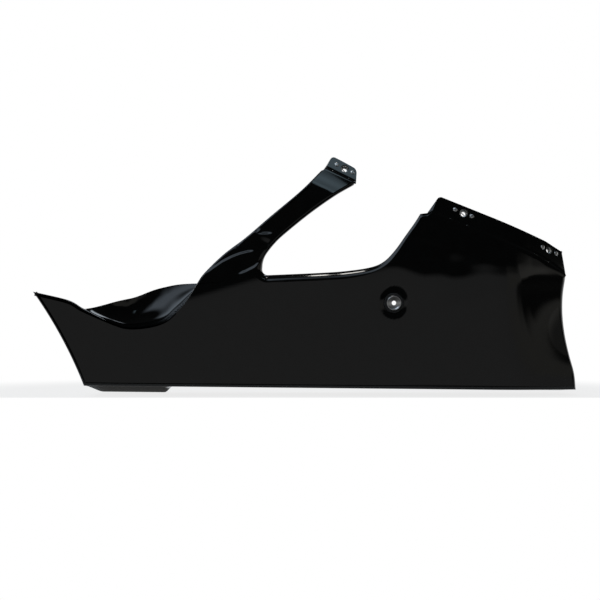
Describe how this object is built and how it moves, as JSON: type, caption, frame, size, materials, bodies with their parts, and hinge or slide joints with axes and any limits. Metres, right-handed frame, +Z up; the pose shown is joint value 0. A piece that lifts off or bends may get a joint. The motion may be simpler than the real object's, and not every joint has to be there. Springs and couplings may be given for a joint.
{
  "type": "motorcycle belly pan",
  "caption": "Moulded side half of a motorcycle belly pan with scoop, arm, joggled flanges, quarter-turn receptacles and a grommeted side bush.",
  "frame": {"origin": "on the axis of the side bush, in the plane of the side wall's outer face", "axes": "+X towards the front of the motorcycle, +Y inwards to its centre line, +Z up"},
  "size_m": [0.772, 0.0973, 0.342],
  "materials": {
    "black_gelcoat": "polished black gelcoat outside, bare dark laminate inside",
    "plated_steel": "zinc plated, pressed",
    "spring_wire": "bright drawn spring wire",
    "rivet_aluminium": "plain, satin",
    "mandrel_steel": "dull broken steel pin",
    "grommet_rubber": "matt black rubber",
    "bush_aluminium": "turned, satin"
  },
  "bodies": {
    "root": {"panel_shell": "black_gelcoat", "tab_receptacle": "plated_steel", "tab_spring": "spring_wire", "tab_rivet_1": "rivet_aluminium", "tab_rivet_2": "rivet_aluminium", "tab_mandrel_1": "mandrel_steel", "tab_mandrel_2": "mandrel_steel", "upper_receptacle": "plated_steel", "upper_spring": "spring_wire", "upper_rivet_1": "rivet_aluminium", "upper_rivet_2": "rivet_aluminium", "upper_mandrel_1": "mandrel_steel", "upper_mandrel_2": "mandrel_steel", "lower_receptacle": "plated_steel", "lower_spring": "spring_wire", "lower_rivet_1": "rivet_aluminium", "lower_rivet_2": "rivet_aluminium", "lower_mandrel_1": "mandrel_steel", "lower_mandrel_2": "mandrel_steel", "side_grommet": "grommet_rubber", "side_bush": "bush_aluminium"}
  },
  "joints": []
}
